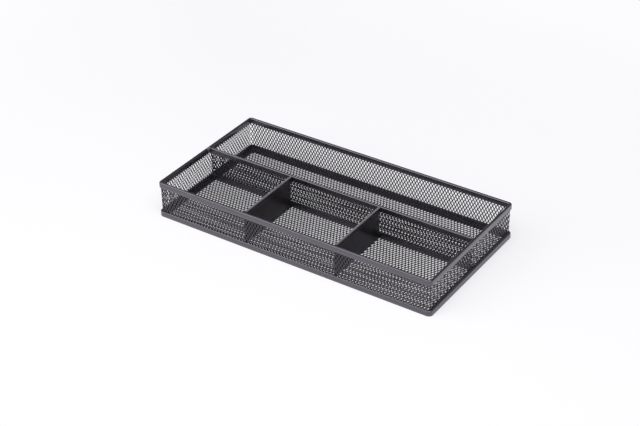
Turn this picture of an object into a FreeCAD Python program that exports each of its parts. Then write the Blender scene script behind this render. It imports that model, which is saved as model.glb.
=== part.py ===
import FreeCAD, Part
import os
import Sketcher

# Desk tray of expanded steel mesh: a base frame, four mesh walls under a folded rim, a mesh floor,
# one long mesh divider with folded rails and two plain cross dividers with a rolled top edge.
# Millimetres, +Z up, +X along the tray, +Y towards the long compartment.
# The origin is the centre of the footprint, on the surface that the tray stands on.

SIZES = [
    ("length", 300.0, "over the base frame"),
    ("width", 150.0, "over the base frame"),
    ("height", 37.5, "from the table to the top of the rim"),
    ("fit", 0.1, "gap between two sheets that are welded together"),
    ("inside_corner", 0.8, "plan radius of the rim's inner face"),
    ("lip_thickness", 1.4, "hemmed upright of the base frame"),
    ("lip_height", 5.5, "top of that upright above the table"),
    ("lip_bevel", 0.6, "eased edges of the folded lip"),
    ("flange_sheet", 0.8, "sheet under the floor's edge"),
    ("flange_reach", 5.0, "flange width inside the lip"),
    ("window_corner", 3.0, "plan radius of the flange's inner edge"),
    ("mesh_sheet", 1.0, "thickness of the expanded mesh"),
    ("wall_return", 3.4, "bent end of a long wall, from its outer face"),
    ("rim_height", 5.8, "fold over the walls' top edge"),
    ("rim_sheet", 0.8, "side of that fold"),
    ("rim_bevel", 1.0, "eased edges of the fold"),
    ("divider_place", 4.1, "long divider's middle, behind the tray's middle"),
    ("rail_height", 5.7, "fold over the long divider's top edge"),
    ("foot_height", 5.8, "fold over the long divider's lower edge"),
    ("rail_sheet", 0.8, "side of the top fold"),
    ("foot_sheet", 0.4, "side of the lower fold"),
    ("rail_grip", 1.8, "depth of mesh held in a fold"),
    ("rail_corner", 3.0, "rounded ends of the top fold"),
    ("cross_spacing", 99.0, "from one rolled edge to the other"),
    ("cross_sheet", 0.8, "sheet of a cross divider"),
    ("hem_gap", 1.4, "clear space inside the rolled top edge"),
    ("hem_drop", 5.5, "rolled edge, from its top to the free edge"),
    ("cross_corner", 3.0, "rounded front end of a cross divider"),
    ("wall_short_way", 8.1, "mesh pitch along a wall, before it is eased to fill the wall"),
    ("wall_long_way", 13.0, "mesh pitch up a wall, eased likewise"),
    ("floor_short_way", 16.3, "mesh pitch along the floor, eased likewise"),
    ("floor_long_way", 28.9, "mesh pitch across the floor, eased likewise"),
    ("open_share", 0.85, "opening over pitch, both ways"),
    ("edge_share", 0.45, "largest eased edge or bend over the thickness that it lies in"),
]

NEAR = 1e-5  # two points or heights that are this close are the same

DERIVED = [
    ("lip_x", "Sizes.length / 2 - Sizes.lip_thickness"),
    ("lip_y", "Sizes.width / 2 - Sizes.lip_thickness"),
    ("wall_x", "lip_x - Sizes.fit"),
    ("wall_y", "lip_y - Sizes.fit"),
    ("slot_x", "wall_x - Sizes.mesh_sheet - Sizes.fit"),
    ("slot_y", "wall_y - Sizes.mesh_sheet - Sizes.fit"),
    ("rim_x", "lip_x + Sizes.rim_sheet"),
    ("rim_y", "lip_y + Sizes.rim_sheet"),
    ("rim_in_x", "slot_x - Sizes.rim_sheet"),
    ("rim_in_y", "slot_y - Sizes.rim_sheet"),
    ("window_x", "lip_x - Sizes.flange_reach"),
    ("window_y", "lip_y - Sizes.flange_reach"),
    ("slot_corner", "Sizes.inside_corner + Sizes.rim_sheet"),
    ("wall_in_corner", "slot_corner + Sizes.fit"),
    ("wall_corner", "wall_in_corner + Sizes.mesh_sheet"),
    ("lip_corner", "wall_corner + Sizes.fit"),
    ("rim_corner", "lip_corner + Sizes.rim_sheet"),
    ("base_corner", "lip_corner + Sizes.lip_thickness"),
    ("rim_edge", "min(Sizes.rim_bevel; Sizes.edge_share * (rim_x - rim_in_x))"),
    ("lip_edge", "min(Sizes.lip_bevel; Sizes.edge_share * Sizes.lip_thickness)"),
    ("floor_top", "Sizes.flange_sheet + Sizes.mesh_sheet"),
    ("rim_low", "Sizes.height - Sizes.rim_height"),
    ("wall_top", "Sizes.height - Sizes.rim_sheet"),
    ("rail_low", "Sizes.height - Sizes.rail_height"),
    ("foot_top", "floor_top + Sizes.foot_height"),
    ("slot_width", "Sizes.mesh_sheet + 2 * Sizes.fit"),
    ("rail_width", "slot_width + 2 * Sizes.rail_sheet"),
    ("foot_width", "slot_width + 2 * Sizes.foot_sheet"),
    ("divider_x", "rim_in_x - Sizes.fit"),
    ("cross_front", "-(rim_in_y - Sizes.fit)"),
    ("cross_back", "Sizes.divider_place - rail_width / 2 - Sizes.fit"),
    ("hem_half", "Sizes.hem_gap / 2 + Sizes.cross_sheet"),
    ("hem_inner", "Sizes.edge_share * Sizes.hem_gap"),
    ("hem_outer", "hem_inner + Sizes.cross_sheet"),
]

doc = FreeCAD.newDocument("mesh_tray")
sizes = doc.addObject("Spreadsheet::Sheet", "Sizes")
for row, (alias, value, meaning) in enumerate(SIZES, start=1):
    sizes.set(f"A{row}", alias)
    sizes.set(f"B{row}", str(value))
    sizes.set(f"C{row}", meaning)
    sizes.setAlias(f"B{row}", alias)
doc.recompute()
derived = doc.addObject("Spreadsheet::Sheet", "Derived")
for row, (alias, formula) in enumerate(DERIVED, start=1):
    derived.set(f"A{row}", alias)
    derived.set(f"B{row}", "=" + formula)
    derived.setAlias(f"B{row}", alias)
    doc.recompute()


def number(formula):
    result = derived.evalExpression(formula)
    return float(getattr(result, "Value", result))


def origin_part(body, role):
    return next(part for part in body.Origin.OriginFeatures if part.Role == role)


def new_body(label):
    body = doc.addObject("PartDesign::Body", label)
    body.Label = label
    return body


def new_sketch(body, name, plane, lift="0"):
    sketch = body.newObject("Sketcher::SketchObject", name)
    sketch.AttachmentSupport = [(origin_part(body, plane), "")]
    sketch.MapMode = "FlatFace"
    sketch.setExpression("AttachmentOffset.Base.z", lift)
    return sketch


def bind(sketch, formula, kind, *targets):
    # One dimension of the sketch that follows a formula of the sheets.
    index = sketch.addConstraint(Sketcher.Constraint(kind, *targets, number(formula)))
    sketch.setExpression(f"Constraints[{index}]", formula)


def draw_outline(sketch, sides):
    # Closed outline of sides that run across and up in turn, starting with one that runs across.
    # A side is its place, as a formula, and the radius of the corner at its end, or None.
    count = len(sides)
    places = [number(place) for place, radius in sides]
    radii = [number(radius) if radius else 0.0 for place, radius in sides]

    def corner(side):
        after = places[(side + 1) % count]
        return (after, places[side]) if side % 2 == 0 else (places[side], after)

    corners = [FreeCAD.Vector(*corner(side), 0) for side in range(count)]
    lines = []
    for side, (place, radius) in enumerate(sides):
        run = (corners[side] - corners[side - 1]).normalize()
        start = corners[side - 1] + run * radii[side - 1]
        end = corners[side] - run * radii[side]
        line = sketch.addGeometry(Part.LineSegment(start, end), False)
        across = side % 2 == 0
        sketch.addConstraint(Sketcher.Constraint("Horizontal" if across else "Vertical", line))
        bind(sketch, place, "DistanceY" if across else "DistanceX", -1, 1, line, 1)
        lines.append(line)
    for side, (place, radius) in enumerate(sides):
        line = lines[side]
        after = lines[(side + 1) % count]
        if not radius:
            sketch.addConstraint(Sketcher.Constraint("Coincident", line, 2, after, 1))
            continue
        start = sketch.getPoint(line, 2)
        end = sketch.getPoint(after, 1)
        middle = start + end - corners[side]
        through = middle + (corners[side] - middle).normalize() * radii[side]
        arc = sketch.addGeometry(Part.Arc(start, through, end), False)
        first, last = (1, 2) if sketch.getPoint(arc, 1).isEqual(start, NEAR) else (2, 1)
        sketch.addConstraint(Sketcher.Constraint("Tangent", line, 2, arc, first))
        sketch.addConstraint(Sketcher.Constraint("Tangent", arc, last, after, 1))
        bind(sketch, radius, "Radius", arc)


def box_sides(half_x, half_y, corner=None):
    return [(f"-({half_y})", corner), (half_x, corner), (half_y, corner), (f"-({half_x})", corner)]


def draw_diamond(sketch, middle_x, middle_y, width, tall):
    # A diamond opening, whose corners lie on its two middle lines.
    across = [f"{middle_x} + {width} / 2", middle_x, f"{middle_x} - {width} / 2", middle_x]
    upward = [middle_y, f"{middle_y} + {tall} / 2", middle_y, f"{middle_y} - {tall} / 2"]
    points = [FreeCAD.Vector(number(x), number(y), 0) for x, y in zip(across, upward)]
    for side in range(4):
        sketch.addGeometry(Part.LineSegment(points[side], points[(side + 1) % 4]), False)
    for side in range(4):
        sketch.addConstraint(Sketcher.Constraint("Coincident", side, 2, (side + 1) % 4, 1))
        bind(sketch, across[side], "DistanceX", -1, 1, side, 1)
        bind(sketch, upward[side], "DistanceY", -1, 1, side, 1)


def draw_corner(sketch, corner_x, corner_y, radius):
    # What lies outside a rounded corner at the upper left: two straight sides and a quarter circle.
    size = number(radius)
    tip = FreeCAD.Vector(number(corner_x), number(corner_y), 0)
    low = tip - FreeCAD.Vector(0, size, 0)
    far = tip + FreeCAD.Vector(size, 0, 0)
    middle = low + far - tip
    through = middle + (tip - middle).normalize() * size
    upright = sketch.addGeometry(Part.LineSegment(low, tip), False)
    level = sketch.addGeometry(Part.LineSegment(tip, far), False)
    arc = sketch.addGeometry(Part.Arc(far, through, low), False)
    first, last = (1, 2) if sketch.getPoint(arc, 1).isEqual(far, NEAR) else (2, 1)
    sketch.addConstraint([
        Sketcher.Constraint("Vertical", upright),
        Sketcher.Constraint("Horizontal", level),
        Sketcher.Constraint("Coincident", upright, 2, level, 1),
        Sketcher.Constraint("Coincident", level, 2, arc, first),
        Sketcher.Constraint("Coincident", upright, 1, arc, last),
        Sketcher.Constraint("Vertical", arc, 3, arc, first),
        Sketcher.Constraint("Horizontal", arc, 3, arc, last),
    ])
    bind(sketch, corner_x, "DistanceX", -1, 1, upright, 2)
    bind(sketch, corner_y, "DistanceY", -1, 1, upright, 2)
    bind(sketch, radius, "Radius", arc)


def turned(angle):
    return FreeCAD.Placement(FreeCAD.Vector(), FreeCAD.Rotation(FreeCAD.Vector(0, 0, 1), angle))


def pad(body, name, sketch, length, symmetric=False):
    feature = body.newObject("PartDesign::Pad", name)
    feature.Profile = sketch
    feature.SideType = "Symmetric" if symmetric else "One side"
    feature.setExpression("Length", length)
    doc.recompute()


def cut(body, name, sketch, depth=None, upward=False):
    # A pocket of the given depth, or through everything both ways; it has to take material away.
    before = body.Shape.Volume
    feature = body.newObject("PartDesign::Pocket", name)
    feature.Profile = sketch
    feature.Reversed = upward
    if depth:
        feature.setExpression("Length", depth)
    else:
        feature.Type = "ThroughAll"
        feature.SideType = "Symmetric"
    doc.recompute()
    if body.Shape.Volume >= before:
        raise RuntimeError(f"{name} of {body.Label} cut nothing")
    return feature


def ease_top(body, name, height, size):
    # Bevels every edge that lies level at the given height.
    base = body.Tip
    level = number(height)
    names = []
    for index, edge in enumerate(base.Shape.Edges, start=1):
        box = edge.BoundBox
        if abs(box.ZMin - level) < NEAR and abs(box.ZMax - level) < NEAR:
            names.append(f"Edge{index}")
    feature = body.newObject("PartDesign::Chamfer", name)
    feature.Base = (base, names)
    feature.setExpression("Size", size)
    doc.recompute()


def pierce(body, plane, axes, middle, room, pitch):
    # Staggered rows of whole diamond openings fill a field of the panel, at least two rows each way.
    # Room and pitch are given across and up; the field's middle lies that far up the sketch.
    columns = f"max(round({room[0]} / {pitch[0]}); 2)"
    rows = f"max(round({room[1]} / {pitch[1]}); 2)"
    step_x = f"({room[0]} / {columns})"
    step_y = f"({room[1]} / {rows})"
    for name, fewer in (("openings", 0), ("between", 1)):
        count_x = f"({columns} - {fewer})"
        count_y = f"({rows} - {fewer})"
        first_x = f"(-({count_x} - 1) / 2 * {step_x})"
        first_y = f"({middle} - ({count_y} - 1) / 2 * {step_y})"
        sketch = new_sketch(body, f"{body.Label}_{name}_sketch", plane)
        opened_x = f"({step_x} * Sizes.open_share)"
        opened_y = f"({step_y} * Sizes.open_share)"
        draw_diamond(sketch, first_x, first_y, opened_x, opened_y)
        opening = cut(body, f"{body.Label}_{name}_first", sketch)
        pattern = body.newObject("PartDesign::LinearPattern", f"{body.Label}_{name}")
        pattern.Originals = [opening]
        pattern.Direction = (origin_part(body, axes[0]), [""])
        pattern.setExpression("Length", f"max({count_x} - 1; 1) * {step_x}")
        pattern.setExpression("Occurrences", count_x)
        pattern.Direction2 = (origin_part(body, axes[1]), [""])
        pattern.setExpression("Length2", f"max({count_y} - 1; 1) * {step_y}")
        pattern.setExpression("Occurrences2", count_y)
        body.Tip = pattern
        doc.recompute()


WALL_PITCH = ("Sizes.wall_short_way", "Sizes.wall_long_way")
FLOOR_PITCH = ("Sizes.floor_short_way", "Sizes.floor_long_way")


def make_base_frame(label):
    # Upright lip outside the walls and a flat flange under the floor, round a wide window.
    body = new_body(label)
    outline = new_sketch(body, "base_outline", "XY_Plane")
    draw_outline(outline, box_sides("Sizes.length / 2", "Sizes.width / 2", "Derived.base_corner"))
    pad(body, "base_block", outline, "Sizes.lip_height")
    inside = new_sketch(body, "lip_inside", "XY_Plane", "Sizes.lip_height")
    draw_outline(inside, box_sides("Derived.lip_x", "Derived.lip_y", "Derived.lip_corner"))
    cut(body, "lip_cut", inside, "Sizes.lip_height - Sizes.flange_sheet")
    window = new_sketch(body, "window_outline", "XY_Plane", "Sizes.flange_sheet")
    draw_outline(window, box_sides("Derived.window_x", "Derived.window_y", "Sizes.window_corner"))
    cut(body, "window_cut", window, "Sizes.flange_sheet")
    ease_top(body, "lip_fold", "Sizes.lip_height", "Derived.lip_edge")
    return body


def make_top_rim(label):
    # Strip folded over the walls' top edge: a closed ring with a slot from below.
    body = new_body(label)
    ring = new_sketch(body, "rim_outline", "XY_Plane", "Derived.rim_low")
    draw_outline(ring, box_sides("Derived.rim_x", "Derived.rim_y", "Derived.rim_corner"))
    draw_outline(ring, box_sides("Derived.rim_in_x", "Derived.rim_in_y", "Sizes.inside_corner"))
    pad(body, "rim_ring", ring, "Sizes.rim_height")
    slot = new_sketch(body, "rim_slot_outline", "XY_Plane", "Derived.rim_low")
    draw_outline(slot, box_sides("Derived.lip_x", "Derived.lip_y", "Derived.lip_corner"))
    draw_outline(slot, box_sides("Derived.slot_x", "Derived.slot_y", "Derived.slot_corner"))
    cut(body, "rim_slot", slot, "Sizes.rim_height - Sizes.rim_sheet", upward=True)
    ease_top(body, "rim_fold", "Sizes.height", "Derived.rim_edge")
    return body


def wall_field(room_x):
    # The part of a wall that shows between the base frame and the rim.
    middle = "(Derived.rim_low + Sizes.lip_height) / 2"
    return middle, (room_x, "(Derived.rim_low - Sizes.lip_height)")


def make_long_wall(label, turn):
    # Mesh strip along the front, with its two ends bent round the corners; turned for the back.
    body = new_body(label)
    strip = new_sketch(body, f"{label}_plan", "XY_Plane", "Sizes.flange_sheet")
    inner_x = "Derived.wall_x - Sizes.mesh_sheet"
    end_y = "-(Derived.wall_y - Sizes.wall_return)"
    draw_outline(strip, [
        ("-Derived.wall_y", "Derived.wall_corner"),
        ("Derived.wall_x", None),
        (end_y, None),
        (inner_x, "Derived.wall_in_corner"),
        ("-(Derived.wall_y - Sizes.mesh_sheet)", "Derived.wall_in_corner"),
        (f"-({inner_x})", None),
        (end_y, None),
        ("-Derived.wall_x", "Derived.wall_corner"),
    ])
    pad(body, f"{label}_strip", strip, "Derived.wall_top - Sizes.flange_sheet")
    middle, room = wall_field("(2 * (Derived.wall_x - Derived.wall_corner))")
    pierce(body, "XZ_Plane", ("X_Axis", "Z_Axis"), middle, room, WALL_PITCH)
    body.Placement = turned(turn)
    return body


def make_short_wall(label, turn):
    # Flat mesh strip at the right, between the bent ends of the long walls; turned for the left.
    body = new_body(label)
    strip = new_sketch(body, f"{label}_plan", "XY_Plane", "Sizes.flange_sheet")
    end_y = "Derived.wall_y - Sizes.wall_return - Sizes.fit"
    draw_outline(strip, [
        (f"-({end_y})", None),
        ("Derived.wall_x", None),
        (end_y, None),
        ("Derived.wall_x - Sizes.mesh_sheet", None),
    ])
    pad(body, f"{label}_strip", strip, "Derived.wall_top - Sizes.flange_sheet")
    middle, room = wall_field(f"(2 * ({end_y} - Sizes.mesh_sheet))")
    pierce(body, "YZ_Plane", ("Y_Axis", "Z_Axis"), middle, room, WALL_PITCH)
    body.Placement = turned(turn)
    return body


def make_floor(label):
    # Mesh panel inside the walls, lying on the flange; its openings run on to the edge, over the flange.
    body = new_body(label)
    panel = new_sketch(body, "floor_outline", "XY_Plane", "Sizes.flange_sheet")
    draw_outline(panel, box_sides("Derived.slot_x", "Derived.slot_y", "Derived.slot_corner"))
    pad(body, "floor_panel", panel, "Sizes.mesh_sheet")
    room = ("(2 * (Derived.slot_x - Sizes.mesh_sheet))", "(2 * (Derived.slot_y - Sizes.mesh_sheet))")
    pierce(body, "XY_Plane", ("X_Axis", "Y_Axis"), "0", room, FLOOR_PITCH)
    return body


def stand_divider(body):
    body.setExpression("Placement.Base.y", "Sizes.divider_place")
    doc.recompute()
    return body


def make_divider_mesh(label):
    # Mesh strip between the left and right walls, its long edges held in the two folds.
    body = new_body(label)
    panel = new_sketch(body, "divider_outline", "XZ_Plane")
    draw_outline(panel, [
        ("Derived.foot_top - Sizes.rail_grip", None),
        ("Derived.divider_x", None),
        ("Derived.rail_low + Sizes.rail_grip", None),
        ("-Derived.divider_x", None),
    ])
    pad(body, "divider_panel", panel, "Sizes.mesh_sheet", symmetric=True)
    middle = "(Derived.rail_low + Derived.foot_top) / 2"
    room = ("(2 * (Derived.divider_x - Sizes.mesh_sheet))", "(Derived.rail_low - Derived.foot_top)")
    pierce(body, "XZ_Plane", ("X_Axis", "Z_Axis"), middle, room, WALL_PITCH)
    return stand_divider(body)


# Lower edge, upper edge, width and rounded corner of each fold, and whether its slot runs upward.
TOP_RAIL = ("Derived.rail_low", "Sizes.height", "Derived.rail_width", "Sizes.rail_corner", True)
FOOT_RAIL = ("Derived.floor_top", "Derived.foot_top", "Derived.foot_width", None, False)


def make_divider_rail(label, low, high, width, corner, upward):
    # Strip folded over one long edge of the divider's mesh, with a slot for it in its lower or upper face.
    body = new_body(label)
    outline = new_sketch(body, f"{label}_outline", "XZ_Plane")
    draw_outline(outline, [
        (low, None),
        ("Derived.divider_x", corner),
        (high, corner),
        ("-Derived.divider_x", None),
    ])
    pad(body, f"{label}_strip", outline, width, symmetric=True)
    slot = new_sketch(body, f"{label}_slot_outline", "XY_Plane", low if upward else high)
    draw_outline(slot, box_sides("Derived.divider_x", "Derived.slot_width / 2"))
    cut(body, f"{label}_slot", slot, "Sizes.rail_grip", upward)
    return stand_divider(body)


def make_cross_divider(label, side):
    # Plain sheet across the front row; its top edge is rolled over to the right and rounded in front.
    body = new_body(label)
    section = new_sketch(body, f"{label}_section", "XZ_Plane", "-Derived.cross_back")
    draw_outline(section, [
        ("Derived.floor_top", None),
        ("-Sizes.hem_gap / 2", "Derived.hem_inner"),
        ("Sizes.height - Sizes.cross_sheet", "Derived.hem_inner"),
        ("Sizes.hem_gap / 2", None),
        ("Sizes.height - Sizes.hem_drop", None),
        ("Derived.hem_half", "Derived.hem_outer"),
        ("Sizes.height", "Derived.hem_outer"),
        ("-Derived.hem_half", None),
    ])
    pad(body, f"{label}_sheet", section, "Derived.cross_back - Derived.cross_front")
    front = new_sketch(body, f"{label}_front", "YZ_Plane")
    draw_corner(front, "Derived.cross_front", "Sizes.height", "Sizes.cross_corner")
    cut(body, f"{label}_front_corner", front)
    body.setExpression("Placement.Base.x", f"{side} * Sizes.cross_spacing / 2")
    doc.recompute()
    return body


tray = [
    make_base_frame("base_frame"),
    make_long_wall("front_wall_mesh", 0),
    make_long_wall("back_wall_mesh", 180),
    make_short_wall("right_wall_mesh", 0),
    make_short_wall("left_wall_mesh", 180),
    make_floor("floor_mesh"),
    make_top_rim("top_rim"),
    make_divider_mesh("long_divider_mesh"),
    make_divider_rail("long_divider_top_rail", *TOP_RAIL),
    make_divider_rail("long_divider_foot_rail", *FOOT_RAIL),
    make_cross_divider("cross_divider_left", -1),
    make_cross_divider("cross_divider_right", 1),
]
doc.recompute()

failed = [item.Name for item in doc.Objects if {"Invalid", "Error"} & set(item.State)]
failed += [body.Label for body in tray if body.Shape.isNull() or not body.Shape.isValid()]
failed += [body.Label for body in tray if len(body.Shape.Solids) != 1]
if failed:
    raise RuntimeError(f"not built: {failed}")

os.makedirs("parts", exist_ok=True)
for body in tray:
    body.Shape.exportStep(f"parts/{body.Label}.step")
    print(f"{body.Label}: {body.Shape.Volume:.0f} mm3")
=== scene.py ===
import math

import bmesh
import bpy
from mathutils import Matrix, Vector


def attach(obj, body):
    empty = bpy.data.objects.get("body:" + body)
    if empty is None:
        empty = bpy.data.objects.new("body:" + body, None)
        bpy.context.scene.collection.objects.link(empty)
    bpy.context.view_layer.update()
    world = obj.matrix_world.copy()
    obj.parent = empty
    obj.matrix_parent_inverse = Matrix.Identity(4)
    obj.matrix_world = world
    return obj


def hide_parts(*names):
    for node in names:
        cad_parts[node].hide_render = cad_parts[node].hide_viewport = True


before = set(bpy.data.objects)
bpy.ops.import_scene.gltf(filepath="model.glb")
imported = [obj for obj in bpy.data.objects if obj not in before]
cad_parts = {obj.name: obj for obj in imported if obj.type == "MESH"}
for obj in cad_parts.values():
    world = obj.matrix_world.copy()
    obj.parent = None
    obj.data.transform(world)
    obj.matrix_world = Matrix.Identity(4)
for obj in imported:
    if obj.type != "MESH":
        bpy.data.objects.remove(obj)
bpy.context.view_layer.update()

mm = 0.001
tiny = 0.001 * mm  # places closer than this count as one
close = 0.01 * mm  # near enough to a line or an end
cutReach = 1e-7  # metres within which a cut runs through a point
sharpAngle = math.radians(50)
smoothAngle = math.radians(35)
selectModes = {"verts": "VERT", "edges": "EDGE", "faces": "FACE"}
print("frame loaded with", len(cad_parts), "nodes")


# ways of working that every piece shares

def toObjectMode():
    if bpy.context.mode != "OBJECT":
        bpy.ops.object.mode_set(mode="OBJECT")


def nameBoth(piece, name):  # the object and its mesh
    piece.name = name
    piece.data.name = name


def startShape(name, addPrimitive):  # a unit shape by itself, open in edit mode
    toObjectMode()
    bpy.ops.object.select_all(action="DESELECT")
    addPrimitive(size=1, location=(0, 0, 0))
    piece = bpy.context.object
    nameBoth(piece, name)
    bpy.ops.object.mode_set(mode="EDIT")
    return piece


def startPlane(name):
    return startShape(name, bpy.ops.mesh.primitive_plane_add)


def startBlock(name, low, high):  # a cube at its size and place
    piece = startShape(name, bpy.ops.mesh.primitive_cube_add)
    bpy.ops.mesh.select_all(action="SELECT")
    bpy.ops.transform.resize(value=Vector(high) - Vector(low), center_override=(0, 0, 0))
    bpy.ops.transform.translate(value=(Vector(low) + Vector(high)) / 2)
    return piece


def copyPiece(source, name):  # a copy with its own mesh
    twin = source.copy()
    twin.data = source.data.copy()
    nameBoth(twin, name)
    bpy.context.collection.objects.link(twin)
    return twin


def pick(kind, wanted):  # selects the parts of the open mesh that pass the test
    bpy.ops.mesh.select_mode(type=selectModes[kind])
    bpy.ops.mesh.select_all(action="DESELECT")
    mesh = bpy.context.object.data
    shape = bmesh.from_edit_mesh(mesh)
    for part in getattr(shape, kind):
        if wanted(part):
            part.select_set(True)
    shape.select_flush_mode()
    bmesh.update_edit_mesh(mesh)


def mergeAll(reach):
    bpy.ops.mesh.select_all(action="SELECT")
    bpy.ops.mesh.remove_doubles(threshold=reach)


def level(part, height):
    return all(abs(v.co.z - height) < tiny for v in part.verts)


def sharp(edge):
    return len(edge.link_faces) == 2 and edge.calc_face_angle(0) > sharpAngle


def roundEdges(bend, wanted):  # bend is a radius and its steps
    radius, steps = bend
    pick("edges", lambda e: sharp(e) and wanted(e))
    bpy.ops.mesh.bevel(offset=radius * mm, segments=steps, affect="EDGES", profile=0.5)


def applyModifiers(piece):
    toObjectMode()
    bpy.context.view_layer.objects.active = piece
    for modifier in list(piece.modifiers):
        bpy.ops.object.modifier_apply(modifier=modifier.name)


def finishPiece(piece, node, coat):
    toObjectMode()
    bpy.ops.object.select_all(action="DESELECT")
    piece.select_set(True)
    bpy.context.view_layer.objects.active = piece
    bpy.ops.object.transform_apply(location=True, rotation=True, scale=True)
    bpy.ops.object.shade_smooth_by_angle(angle=smoothAngle)
    piece.data.materials.clear()
    piece.data.materials.append(coat)
    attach(piece, "root")
    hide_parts(node)
    print(piece.name, "has", len(piece.data.polygons), "faces")


# shader maths: a wire is a socket that adds its own nodes when it is reckoned with

class Wire:
    def __init__(self, tree, socket=None):
        self.tree = tree
        self.socket = socket

    def node(self, kind, settings=None, outlet=0, **inlets):  # i0, i1 and so on are inlets by number
        made = self.tree.nodes.new(kind)
        for key, value in (settings or {}).items():
            setattr(made, key, value)
        for key, value in inlets.items():
            numbered = key[0] == "i" and key[1:].isdigit()
            inlet = made.inputs[int(key[1:]) if numbered else key.replace("_", " ")]
            if isinstance(value, Wire):
                self.tree.links.new(value.socket, inlet)
            else:
                inlet.default_value = value
        return Wire(self.tree, made.outputs[outlet]) if made.outputs else made

    def blend(self, share, first, second):  # a Mix node's colours go in at 6 and 7 and come out at 2
        return self.node("ShaderNodeMix", {"data_type": "RGBA"}, 2, i0=share, i6=first, i7=second)

    def ramp(self, start, full, low=0.0, high=1.0):  # from low at start to high at full, level past both
        return self.node("ShaderNodeMapRange", {"clamp": True}, Value=self, From_Min=start, From_Max=full,
                         To_Min=low, To_Max=high)

    def along(self, axis):
        return self.node("ShaderNodeSeparateXYZ", outlet=axis, Vector=self)

    def reckon(self, operation, first, second):
        return self.node("ShaderNodeMath", {"operation": operation}, i0=first, i1=second)

    def __abs__(self):
        return self.node("ShaderNodeMath", {"operation": "ABSOLUTE"}, i0=self)

    def __add__(self, other):
        return self.reckon("ADD", self, other)

    def __radd__(self, other):
        return self.reckon("ADD", other, self)

    def __sub__(self, other):
        return self.reckon("SUBTRACT", self, other)

    def __rsub__(self, other):
        return self.reckon("SUBTRACT", other, self)

    def __mul__(self, other):
        return self.reckon("MULTIPLY", self, other)

    def __rmul__(self, other):
        return self.reckon("MULTIPLY", other, self)


def newMaterial(name):
    material = bpy.data.materials.new(name)
    material.use_nodes = True
    material.node_tree.nodes.clear()
    return material, Wire(material.node_tree)


# satin black powder coat: fine peel, patches of gloss, a few pale specks and paler places, most of them
# painted light and highlights

coatLook = {
    "dark": (0.0085, 0.0072, 0.0095, 1),
    "light": (0.019, 0.0165, 0.021, 1),
    "peelShade": 0.25,  # share of the peel in the change from dark to light, the patches have the rest
    "speck": (0.12, 0.115, 0.125, 1),
    "specks": 0.3,
    "speckRange": (0.68, 0.78),
    "paleTone": (0.16, 0.152, 0.165, 1),
    "palePlaces": (),  # axis, where the paler tone starts and where it is full, in millimetres
    "paleShare": 0.0,
    "sheen": (0.93, 0.865, 1.0, 1),
    "gloss": 2.0,  # index of refraction
    "roughness": 0.25,
    "patchGloss": 0.1,
    "peelGloss": 0.08,
    "peelScale": 1900.0,
    "patchScale": 45.0,
    "gritScale": 700.0,
    "peelDepth": 0.5,
    "gritDepth": 0.3,
    "bumpReach": 0.05,  # millimetres
}
coatNoise = {
    "peel": {"Detail": 3.0, "Roughness": 0.55},
    "patch": {"Detail": 4.0, "Roughness": 0.6},
    "grit": {"Detail": 1.0},
}
noiseMiddle = 0.5


def powderCoat(name, look):
    material, tree = newMaterial(name)
    place = tree.node("ShaderNodeTexCoord", outlet="Object")
    peel, patch, grit = (
        tree.node("ShaderNodeTexNoise", Vector=place, Scale=look[kind + "Scale"], **coatNoise[kind])
        for kind in ("peel", "patch", "grit")
    )
    shade = look["peelShade"] * peel + (1 - look["peelShade"]) * patch
    tone = tree.blend(shade, look["dark"], look["light"])
    tone = tree.blend(grit.ramp(*look["speckRange"]) * look["specks"], tone, look["speck"])
    # the paler tone over the listed places: painted light and highlights on most coats
    if look["palePlaces"]:
        palePlaces = look["paleShare"] * patch
        for axis, start, full in look["palePlaces"]:
            palePlaces = palePlaces * place.along(axis).ramp(start * mm, full * mm)
        tone = tree.blend(palePlaces, tone, look["paleTone"])
    patchy = look["patchGloss"] * (patch - noiseMiddle)
    roughness = look["roughness"] + patchy + look["peelGloss"] * (peel - noiseMiddle)
    bump = tree.node("ShaderNodeBump", Strength=look["peelDepth"], Distance=look["bumpReach"] * mm,
                     Height=peel + look["gritDepth"] * grit)
    coat = tree.node("ShaderNodeBsdfPrincipled", Base_Color=tone, Roughness=roughness, Normal=bump,
                     IOR=look["gloss"], Specular_Tint=look["sheen"])
    tree.node("ShaderNodeOutputMaterial", Surface=coat)
    return material


meshLook = {**coatLook, "gloss": 1.75, "patchScale": 70.0}
meshCoat = powderCoat("meshCoat", meshLook)
wallCoat = powderCoat("wallCoat", {**meshLook, "paleShare": 0.4, "palePlaces": (("Z", 9.0, 6.5),)})  # painted light: paler towards the foot, where the lip shades the mesh
endCoat = powderCoat("endCoat", {**meshLook, "paleShare": 1.1, "palePlaces": (("Z", 8.5, 6.0),)})  # more painted light at the foot, where the lip shades the mesh
frameCoat = powderCoat("frameCoat", coatLook)
railCoat = powderCoat("railCoat", {**coatLook, "paleShare": 0.3, "palePlaces": (("Z", 36.3, 37.2),)})  # painted highlight: paler along the rounded top
# painted highlight: paler along the lip's top edge
lipCoat = powderCoat("lipCoat", {**coatLook, "paleShare": 0.6, "palePlaces": (("Z", 4.9, 5.5),)})
rimCoat = powderCoat("rimCoat", {  # paler where the long divider meets the left side
    **coatLook, "gloss": 2.1, "paleShare": 2.6,
    "palePlaces": (("X", -145.5, -146.5), ("Y", -0.8, 0.6), ("Y", 5.0, 3.8)),
})
sheetCoat = powderCoat("sheetCoat", {  # smoother and duller than the frame, with a painted highlight: paler along the rolled edge
    **coatLook, "gloss": 1.55, "roughness": 0.32, "peelDepth": 0.15, "patchScale": 30.0,
    "paleShare": 2.4, "palePlaces": (("Z", 36.85, 37.3),),
})
print("coats mixed")


# the tray's outer size and how far inside it the folds of the frame lie, in millimetres

tray = {"half": (150.0, 75.0), "height": 37.5, "cornerSteps": 7}
foldInset = {"rimOuter": 0.6, "lip": 1.4, "slot": 2.6, "rimInner": 3.4, "window": 6.4}
fold = {name: [half - inset for half in tray["half"]] for name, inset in foldInset.items()}


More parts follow.
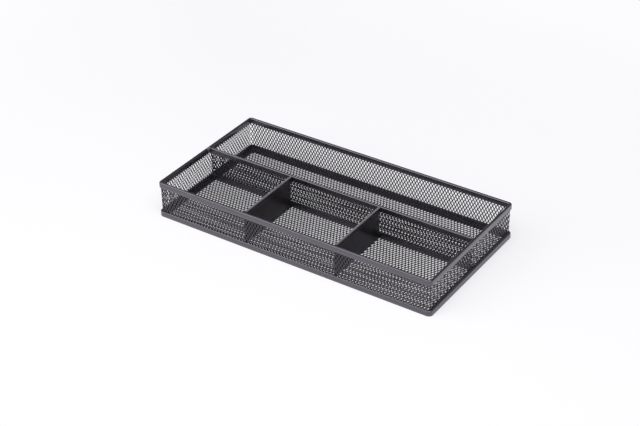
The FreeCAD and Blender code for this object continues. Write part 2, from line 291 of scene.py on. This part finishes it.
def addLoop(half, corner, height):  # a rounded rectangle of edges in the open mesh
    bpy.ops.mesh.primitive_plane_add(size=2, location=(0, 0, height * mm))
    bpy.ops.transform.resize(value=(half[0] * mm, half[1] * mm, 1), center_override=(0, 0, height * mm))
    bpy.ops.mesh.bevel(offset=corner * mm, segments=tray["cornerSteps"], affect="VERTICES", profile=0.5)
    bpy.ops.mesh.delete(type="ONLY_FACE")


def loopRing(name, loops):  # bridges rounded rectangles, each to the next and the last to the first
    apart = -100.0  # while they are bridged, the loops lie far below each other
    piece = startPlane(name)
    bpy.ops.mesh.delete(type="VERT")
    for step, (half, corner, height) in enumerate(loops, start=1):
        addLoop(half, corner, step * apart)
    for step in range(1, len(loops) + 1):
        pair = (step, step % len(loops) + 1)
        pick("verts", lambda v: round(v.co.z / mm / apart) in pair)
        bpy.ops.mesh.bridge_edge_loops()
    for step, (half, corner, height) in enumerate(loops, start=1):
        pick("verts", lambda v: round(v.co.z / mm / apart) == step)
        bpy.ops.transform.translate(value=(0, 0, (height - step * apart) * mm))
    bpy.ops.mesh.select_all(action="SELECT")
    bpy.ops.mesh.normals_make_consistent(inside=False)
    return piece


def beyond(edge, half):  # both ends of the edge reach past this half size
    return all(abs(v.co.x) > half[0] * mm or abs(v.co.y) > half[1] * mm for v in edge.verts)


# base frame: a hemmed lip round the walls and a flange under the floor

baseFrame = {"lipTop": 5.5, "sheet": 0.8, "outerCorner": 4.2, "innerCorner": 2.8, "windowCorner": 3.0,
             "hemRound": (0.7, 6), "insideRound": (0.65, 2), "footRound": (0.3, 3), "sideMargin": 0.1}

piece = loopRing("baseFrame", [
    (tray["half"], baseFrame["outerCorner"], 0.0),
    (tray["half"], baseFrame["outerCorner"], baseFrame["lipTop"]),
    (fold["lip"], baseFrame["innerCorner"], baseFrame["lipTop"]),
    (fold["lip"], baseFrame["innerCorner"], baseFrame["sheet"]),
    (fold["window"], baseFrame["windowCorner"], baseFrame["sheet"]),
    (fold["window"], baseFrame["windowCorner"], 0.0),
])
lipTop = baseFrame["lipTop"] * mm
lipSide = [half + baseFrame["sideMargin"] for half in fold["lip"]]  # only the outer loop reaches past this
roundEdges(baseFrame["insideRound"], lambda e: level(e, lipTop) and not beyond(e, lipSide))
roundEdges(baseFrame["hemRound"], lambda e: level(e, lipTop) and beyond(e, lipSide))
roundEdges(baseFrame["footRound"], lambda e: level(e, 0) and beyond(e, lipSide))
finishPiece(piece, "base_frame", lipCoat)


# top rim: a strip folded over the walls, open below

topRim = {"low": 31.7, "slotTop": 36.7, "outerCorner": 3.6, "lipCorner": 2.8, "slotCorner": 1.6,
          "innerCorner": 0.8, "foldRound": (1.3, 7), "edgeRound": (0.2, 2)}

piece = loopRing("topRim", [
    (fold["rimOuter"], topRim["outerCorner"], topRim["low"]),
    (fold["rimOuter"], topRim["outerCorner"], tray["height"]),
    (fold["rimInner"], topRim["innerCorner"], tray["height"]),
    (fold["rimInner"], topRim["innerCorner"], topRim["low"]),
    (fold["slot"], topRim["slotCorner"], topRim["low"]),
    (fold["slot"], topRim["slotCorner"], topRim["slotTop"]),
    (fold["lip"], topRim["lipCorner"], topRim["slotTop"]),
    (fold["lip"], topRim["lipCorner"], topRim["low"]),
])
roundEdges(topRim["foldRound"], lambda e: level(e, tray["height"] * mm))
roundEdges(topRim["edgeRound"], lambda e: level(e, topRim["low"] * mm))
finishPiece(piece, "top_rim", rimCoat)
print("frame folded")


# expanded mesh: one cell of two diamonds, copied over each panel

meshCell = {"shortWay": 3.4, "longWay": 6.0, "strand": 0.92, "sheet": 0.34, "edge": 0.1,
            "tilt": 0.18, "leftTilt": -0.04, "rightTilt": 0.2, "floorTilt": 0.28,
            "leanZone": (0.1, 0.48)}  # the ends of an opening, in parts of the short way


def makeMeshCell(name, tilt):
    wide, tall = meshCell["shortWay"] * mm, meshCell["longWay"] * mm
    leanStart, leanEnd = (share * wide for share in meshCell["leanZone"])
    diagonal = math.sqrt(2)  # of the unit plane, which is turned to stand on its corner
    piece = startPlane(name)
    bpy.ops.transform.rotate(value=math.radians(45), orient_axis="Z", center_override=(0, 0, 0))
    bpy.ops.transform.resize(value=(wide / diagonal, tall / diagonal, 1), center_override=(0, 0, 0))
    bpy.ops.transform.translate(value=(0, 0, meshCell["sheet"] / 2 * mm))
    bpy.ops.mesh.inset(thickness=(meshCell["strand"] / 2 - meshCell["edge"]) * mm, depth=0)
    bpy.ops.mesh.inset(thickness=meshCell["edge"] * mm, depth=-meshCell["sheet"] / 2 * mm)
    bpy.ops.mesh.delete(type="FACE")
    bpy.ops.mesh.select_all(action="SELECT")
    bpy.ops.mesh.duplicate()  # the underside
    bpy.ops.transform.resize(value=(1, 1, -1), center_override=(0, 0, 0))
    bpy.ops.mesh.flip_normals()
    mergeAll(tiny)
    for side in (1, -1):  # strands lean: one end of an opening is high, the other low
        pick("verts", lambda v: abs(v.co.y) < close and leanStart < side * v.co.x < leanEnd)
        bpy.ops.transform.translate(value=(0, 0, side * tilt * mm))
    bpy.ops.mesh.select_all(action="SELECT")
    bpy.ops.mesh.duplicate()  # the staggered row
    bpy.ops.transform.translate(value=(wide / 2, tall / 2, 0))
    mergeAll(tiny)
    toObjectMode()
    print(name, "has", len(piece.data.polygons), "faces")
    return piece


def cutOff(point, outward):
    bpy.ops.mesh.select_all(action="SELECT")
    bpy.ops.mesh.bisect(plane_co=point, plane_no=outward, clear_outer=True, use_fill=True, threshold=cutReach)


def meshPanel(name, cell, length, tall):  # flat panel round the origin, long way of the mesh along y
    toObjectMode()
    bpy.ops.object.select_all(action="DESELECT")
    panel = copyPiece(cell, name)
    bpy.context.view_layer.objects.active = panel
    panel.select_set(True)
    pitches = (meshCell["shortWay"], meshCell["longWay"])
    counts = [2 * math.ceil(size / pitch / 2) + 2 for size, pitch in zip((length, tall), pitches)]
    for axis in (0, 1):
        rows = panel.modifiers.new("rows", "ARRAY")
        rows.count = counts[axis]
        rows.use_relative_offset = False
        rows.use_constant_offset = True
        rows.constant_offset_displace = [pitches[axis] * mm if axis == place else 0 for place in range(3)]
        rows.use_merge_vertices = True
        rows.merge_threshold = tiny
    applyModifiers(panel)
    bpy.ops.object.mode_set(mode="EDIT")
    bpy.ops.mesh.select_all(action="SELECT")
    shift = [-(count - 1) / 2 * pitch * mm for count, pitch in zip(counts, pitches)]
    bpy.ops.transform.translate(value=(shift[0], shift[1], 0))
    for side in (1, -1):
        cutOff((side * length / 2 * mm, 0, 0), (side, 0, 0))
        cutOff((0, side * tall / 2 * mm, 0), (0, side, 0))
    mergeAll(tiny / 2)
    bpy.ops.mesh.dissolve_degenerate(threshold=tiny / 2)
    toObjectMode()
    return panel


def standPanel(panel, turn, place):  # upright, then turned about the vertical and moved to its place
    upright = Matrix.Rotation(math.radians(90), 4, "X")
    turned = Matrix.Rotation(math.radians(turn), 4, "Z")
    panel.data.transform(Matrix.Translation(Vector(place) * mm) @ turned @ upright)


cell = makeMeshCell("meshCell", meshCell["tilt"])


# walls: two long strips with their ends bent round the corners, two short flat ones between them

wallMesh = {"low": baseFrame["sheet"], "top": topRim["slotTop"], "face": (148.0, 73.0), "bend": 2.2,
            "bendSteps": 5, "tail": 0.7, "shortEnd": 70.0}
wallTall = wallMesh["top"] - wallMesh["low"]
wallMiddle = (wallMesh["top"] + wallMesh["low"]) / 2


def bendEnds(panel):  # turns the panel's two ends back round the tray's corners
    radius = wallMesh["bend"] * mm
    start = (wallMesh["face"][0] - wallMesh["bend"]) * mm
    arc = radius * math.pi / 2
    bpy.context.view_layer.objects.active = panel
    bpy.ops.object.mode_set(mode="EDIT")
    for side in (1, -1):
        for step in range(wallMesh["bendSteps"] + 1):
            bpy.ops.mesh.select_all(action="SELECT")
            spot = side * (start + arc * step / wallMesh["bendSteps"])
            bpy.ops.mesh.bisect(plane_co=(spot, 0, 0), plane_no=(1, 0, 0), threshold=cutReach)
    toObjectMode()
    for vertex in panel.data.vertices:
        x, y, z = vertex.co
        past = abs(x) - start
        if past <= 0:
            continue
        side = math.copysign(1, x)
        turn = min(past / radius, math.pi / 2)
        along = start + (radius + z) * math.sin(turn)
        inward = radius - (radius + z) * math.cos(turn) + max(past - arc, 0)
        vertex.co = (side * along, y, -inward)


longHalf = wallMesh["face"][0] - wallMesh["bend"] + wallMesh["bend"] * math.pi / 2 + wallMesh["tail"]
longWall = meshPanel("longWall", cell, 2 * longHalf, wallTall)
bendEnds(longWall)
for name, node, turn, side in (
    ("frontWall", "front_wall_mesh", 0, -1),
    ("backWall", "back_wall_mesh", 180, 1),
):
    panel = copyPiece(longWall, name)
    standPanel(panel, turn, (0, side * wallMesh["face"][1], wallMiddle))
    finishPiece(panel, node, wallCoat)
bpy.data.objects.remove(longWall)

for name, node, turn, side, tilt, coat in (
    ("rightWall", "right_wall_mesh", 90, 1, meshCell["rightTilt"], endCoat),
    ("leftWall", "left_wall_mesh", -90, -1, meshCell["leftTilt"], wallCoat),
):
    ownCell = makeMeshCell(name + "Cell", tilt)
    panel = meshPanel(name, ownCell, 2 * wallMesh["shortEnd"], wallTall)
    standPanel(panel, turn, (side * wallMesh["face"][0], 0, wallMiddle))
    finishPiece(panel, node, coat)
    bpy.data.objects.remove(ownCell)
print("walls stood up")


# floor: one flat panel on the flange

floorMesh = {"half": fold["slot"], "middle": 1.3}

ownCell = makeMeshCell("floorCell", meshCell["floorTilt"])
panel = meshPanel("floorPanel", ownCell, 2 * floorMesh["half"][0], 2 * floorMesh["half"][1])
bpy.data.objects.remove(ownCell)
panel.data.transform(Matrix.Translation((0, 0, floorMesh["middle"] * mm)))
finishPiece(panel, "floor_mesh", meshCoat)
print("floor laid")


# long divider: a mesh strip between two folded rails

longDivider = {"half": 146.5, "place": 4.1, "meshLow": 5.8, "meshTop": 33.6, "railLow": 31.8, "footLow": 1.8,
               "footTop": 7.6, "slot": 1.2, "railSheet": 0.8, "footSheet": 0.4, "grip": 1.8,
               "endRound": (3.0, 6), "endZone": 3.1, "foldRound": (1.3, 7), "edgeRound": (0.2, 2),
               "footRound": (0.3, 3)}

dividerTall = longDivider["meshTop"] - longDivider["meshLow"]
panel = meshPanel("dividerMesh", cell, 2 * longDivider["half"], dividerTall)
standPanel(panel, 0, (0, longDivider["place"], longDivider["meshLow"] + dividerTall / 2))
finishPiece(panel, "long_divider_mesh", meshCoat)
bpy.data.objects.remove(cell)


def foldedRail(name, low, high, mouth, sheet):  # solid strip with a slot for the mesh in its mouth
    half, place, width = longDivider["half"], longDivider["place"], longDivider["slot"] + 2 * sheet
    piece = startBlock(
        name,
        (-half * mm, (place - width / 2) * mm, low * mm),
        (half * mm, (place + width / 2) * mm, high * mm),
    )
    pick("faces", lambda f: level(f, mouth * mm))
    bpy.ops.mesh.inset(thickness=sheet * mm, depth=0)
    depth = longDivider["grip"] * (1 if mouth == low else -1)
    bpy.ops.mesh.extrude_region_move(TRANSFORM_OT_translate={"value": (0, 0, depth * mm)})
    return piece


def straight(edge, axis):  # both ends lie at the same place on this axis
    return abs(edge.verts[0].co[axis] - edge.verts[1].co[axis]) < tiny


railLow, railTop = longDivider["railLow"], tray["height"]
endLow = (railTop - longDivider["endZone"]) * mm  # just below the rounded ends
piece = foldedRail("dividerTopRail", railLow, railTop, railLow, longDivider["railSheet"])
roundEdges(longDivider["endRound"], lambda e: level(e, railTop * mm) and straight(e, 0))
roundEdges(longDivider["foldRound"], lambda e: all(v.co.z > endLow for v in e.verts) and straight(e, 1))
roundEdges(longDivider["edgeRound"], lambda e: level(e, railLow * mm))
finishPiece(piece, "long_divider_top_rail", railCoat)

footLow, footTop = longDivider["footLow"], longDivider["footTop"]
footEdge = (longDivider["footSheet"] / 3, longDivider["edgeRound"][1])  # leaves a third of the sheet flat
piece = foldedRail("dividerFootRail", footLow, footTop, footTop, longDivider["footSheet"])
roundEdges(footEdge, lambda e: level(e, footTop * mm))
roundEdges(longDivider["footRound"], lambda e: level(e, footLow * mm))
finishPiece(piece, "long_divider_foot_rail", frameCoat)
print("long divider set")


# cross dividers: plain sheet, its top edge rolled over to the right

crossDivider = {"front": -71.5, "back": 2.6, "low": 1.8, "sheet": 0.8, "roll": 1.1, "rollSteps": 10,
                "flapLow": 32.0, "frontRound": 3.0, "frontSteps": 4, "spacing": 99.0, "edgeRound": (0.18, 2)}


def makeCrossDivider(name, node, side):
    front, back = crossDivider["front"] * mm, crossDivider["back"] * mm
    low, roll = crossDivider["low"] * mm, crossDivider["roll"] * mm
    axis = (tray["height"] - crossDivider["roll"] - crossDivider["sheet"] / 2) * mm
    middle = side * crossDivider["spacing"] / 2 * mm
    piece = startPlane(name)
    bpy.ops.transform.resize(value=(axis - low, back - front, 1), center_override=(0, 0, 0))
    toObjectMode()
    upright = Matrix.Rotation(math.radians(-90), 4, "Y")
    piece.data.transform(Matrix.Translation((middle - roll, (front + back) / 2, (axis + low) / 2)) @ upright)
    bpy.ops.object.mode_set(mode="EDIT")
    pick("edges", lambda e: level(e, axis))
    bpy.ops.mesh.spin(steps=crossDivider["rollSteps"], angle=math.pi, center=(middle, front, axis),
                      axis=(0, -1, 0))
    pick("edges", lambda e: level(e, axis) and all(v.co.x > middle for v in e.verts))
    bpy.ops.mesh.extrude_region_move(
        TRANSFORM_OT_translate={"value": (0, 0, crossDivider["flapLow"] * mm - axis)}
    )
    turn = (tray["height"] - crossDivider["frontRound"]) * mm  # the front end is rounded above this
    for step in range(crossDivider["frontSteps"]):
        bpy.ops.mesh.select_all(action="SELECT")
        height = turn + (axis - turn) * step / crossDivider["frontSteps"]
        bpy.ops.mesh.bisect(plane_co=(0, 0, height), plane_no=(0, 0, 1))
    mergeAll(tiny)
    bpy.ops.mesh.normals_make_consistent(inside=False)
    toObjectMode()
    rounded = crossDivider["frontRound"] * mm
    for vertex in piece.data.vertices:
        rise = vertex.co.z - turn
        if rise > 0 and vertex.co.y < front + close:
            vertex.co.y = front + rounded - math.sqrt(max(rounded ** 2 - rise ** 2, 0))
    wall = piece.modifiers.new("wall", "SOLIDIFY")
    wall.thickness = crossDivider["sheet"] * mm
    wall.offset = 0
    soft = piece.modifiers.new("soft", "BEVEL")
    soft.width = crossDivider["edgeRound"][0] * mm
    soft.segments = crossDivider["edgeRound"][1]
    soft.limit_method = "ANGLE"
    soft.angle_limit = sharpAngle
    applyModifiers(piece)
    finishPiece(piece, node, sheetCoat)


makeCrossDivider("crossDividerLeft", "cross_divider_left", -1)
makeCrossDivider("crossDividerRight", "cross_divider_right", 1)
print("cross dividers set")


# ground: pale paper that keeps the tray's shadow, lengths in metres

groundLook = {"half": 4.0, "floor": (0.88, 0.875, 0.9, 1), "paper": (0.985, 0.978, 1.0, 1),
              "white": (0.56, 0.95), "whiteReach": (0.05, 0.45),  # whiter to the camera away from the tray
              "mirrored": 0.9, "fade": 0.003,
              "grainScale": 900.0, "grainDetail": 2.0, "grainBump": 0.05, "grainDepth": 0.0001}


def makeGround():
    toObjectMode()
    bpy.ops.object.select_all(action="DESELECT")
    bpy.ops.mesh.primitive_plane_add(size=2 * groundLook["half"], location=(0, 0, 0))
    ground = bpy.context.object
    ground.name = "ground"
    material, tree = newMaterial("paper")
    place = tree.node("ShaderNodeTexCoord", outlet="Object")
    grain = tree.node("ShaderNodeTexNoise", Vector=place, Scale=groundLook["grainScale"],
                      Detail=groundLook["grainDetail"])
    bump = tree.node("ShaderNodeBump", Strength=groundLook["grainBump"], Distance=groundLook["grainDepth"],
                     Height=grain)
    lit = tree.node("ShaderNodeBsdfDiffuse", Color=groundLook["floor"], Normal=bump)
    white = tree.node("ShaderNodeEmission", Color=groundLook["paper"], Strength=1.0)
    camera, glossy, passing = (tree.node("ShaderNodeLightPath", outlet=ray) for ray in (
        "Is Camera Ray", "Is Glossy Ray", "Is Transmission Ray"))
    across, deep = (abs(place.along(axis)) - half * mm for axis, half in zip("XY", tray["half"]))
    away = tree.reckon("MAXIMUM", across, deep)  # from the tray's sides
    plain = away.ramp(*groundLook["whiteReach"], *groundLook["white"])
    bare = away.ramp(0.0, groundLook["fade"])  # nothing white is mirrored under the tray
    share = camera * plain + bare * (glossy + passing) * groundLook["mirrored"]
    surface = tree.node("ShaderNodeMixShader", i0=share, i1=lit, i2=white)
    tree.node("ShaderNodeOutputMaterial", Surface=surface)
    ground.data.materials.append(material)


# sky: dim, and pale only low down behind the tray

skyLook = {"pale": 1.0, "dim": 0.12, "paleBelow": 0.05, "dimAbove": 0.42, "behind": 0.3}


def makeSky():
    world = bpy.data.worlds.new("studio")
    bpy.context.scene.world = world
    world.use_nodes = True
    world.node_tree.nodes.clear()
    tree = Wire(world.node_tree)
    facing = tree.node("ShaderNodeTexCoord", outlet="Generated")
    low = facing.along("Z").ramp(skyLook["dimAbove"], skyLook["paleBelow"])
    behind = facing.along("Y").ramp(-skyLook["behind"], skyLook["behind"])
    shade = skyLook["dim"] + low * behind * (skyLook["pale"] - skyLook["dim"])
    sky = tree.node("ShaderNodeBackground", Color=(1, 1, 1, 1), Strength=shade)
    tree.node("ShaderNodeOutputWorld", Surface=sky)


lamps = [
    {"name": "overhead", "spot": (0.5, -0.6, 1.7), "size": 1.5, "power": 31.0},
    {"name": "frontLeft", "spot": (-1.05, -1.26, 1.15), "size": 2.1, "power": 28.0},
]


def makeLamps():
    for lamp in lamps:
        light = bpy.data.lights.new(lamp["name"], "AREA")
        light.shape = "SQUARE"
        light.size = lamp["size"]
        light.energy = lamp["power"]
        holder = bpy.data.objects.new(lamp["name"], light)
        bpy.context.collection.objects.link(holder)
        holder.location = lamp["spot"]
        holder.rotation_euler = (-Vector(lamp["spot"])).to_track_quat("-Z", "Y").to_euler()


# camera: the photograph's view, place in metres, turns in degrees, lens in millimetres

cameraSpot = {"place": (0.67349, -1.01022, 0.80526), "azimuth": 34.2799, "elevation": 33.0741,
              "roll": -0.8498, "lens": 86.728, "sensor": 36, "clipStart": 0.01}


def makeCamera():
    turn, rise, roll = (math.radians(cameraSpot[key]) for key in ("azimuth", "elevation", "roll"))
    back = Vector((math.sin(turn) * math.cos(rise), -math.cos(turn) * math.cos(rise), math.sin(rise)))
    right = Vector((math.cos(turn), math.sin(turn), 0))
    up = back.cross(right)
    tiltedRight = math.cos(roll) * right + math.sin(roll) * up
    tiltedUp = math.cos(roll) * up - math.sin(roll) * right
    lens = bpy.data.cameras.new("photoView")
    lens.lens = cameraSpot["lens"]
    lens.sensor_width = cameraSpot["sensor"]
    lens.clip_start = cameraSpot["clipStart"]
    holder = bpy.data.objects.new("photoView", lens)
    bpy.context.collection.objects.link(holder)
    facing = Matrix((tiltedRight, tiltedUp, back)).transposed().to_4x4()
    holder.matrix_world = Matrix.Translation(cameraSpot["place"]) @ facing
    bpy.context.scene.camera = holder


makeGround()
makeSky()
makeLamps()
makeCamera()
bpy.context.scene.view_settings.view_transform = "Standard"
print("stage lit")
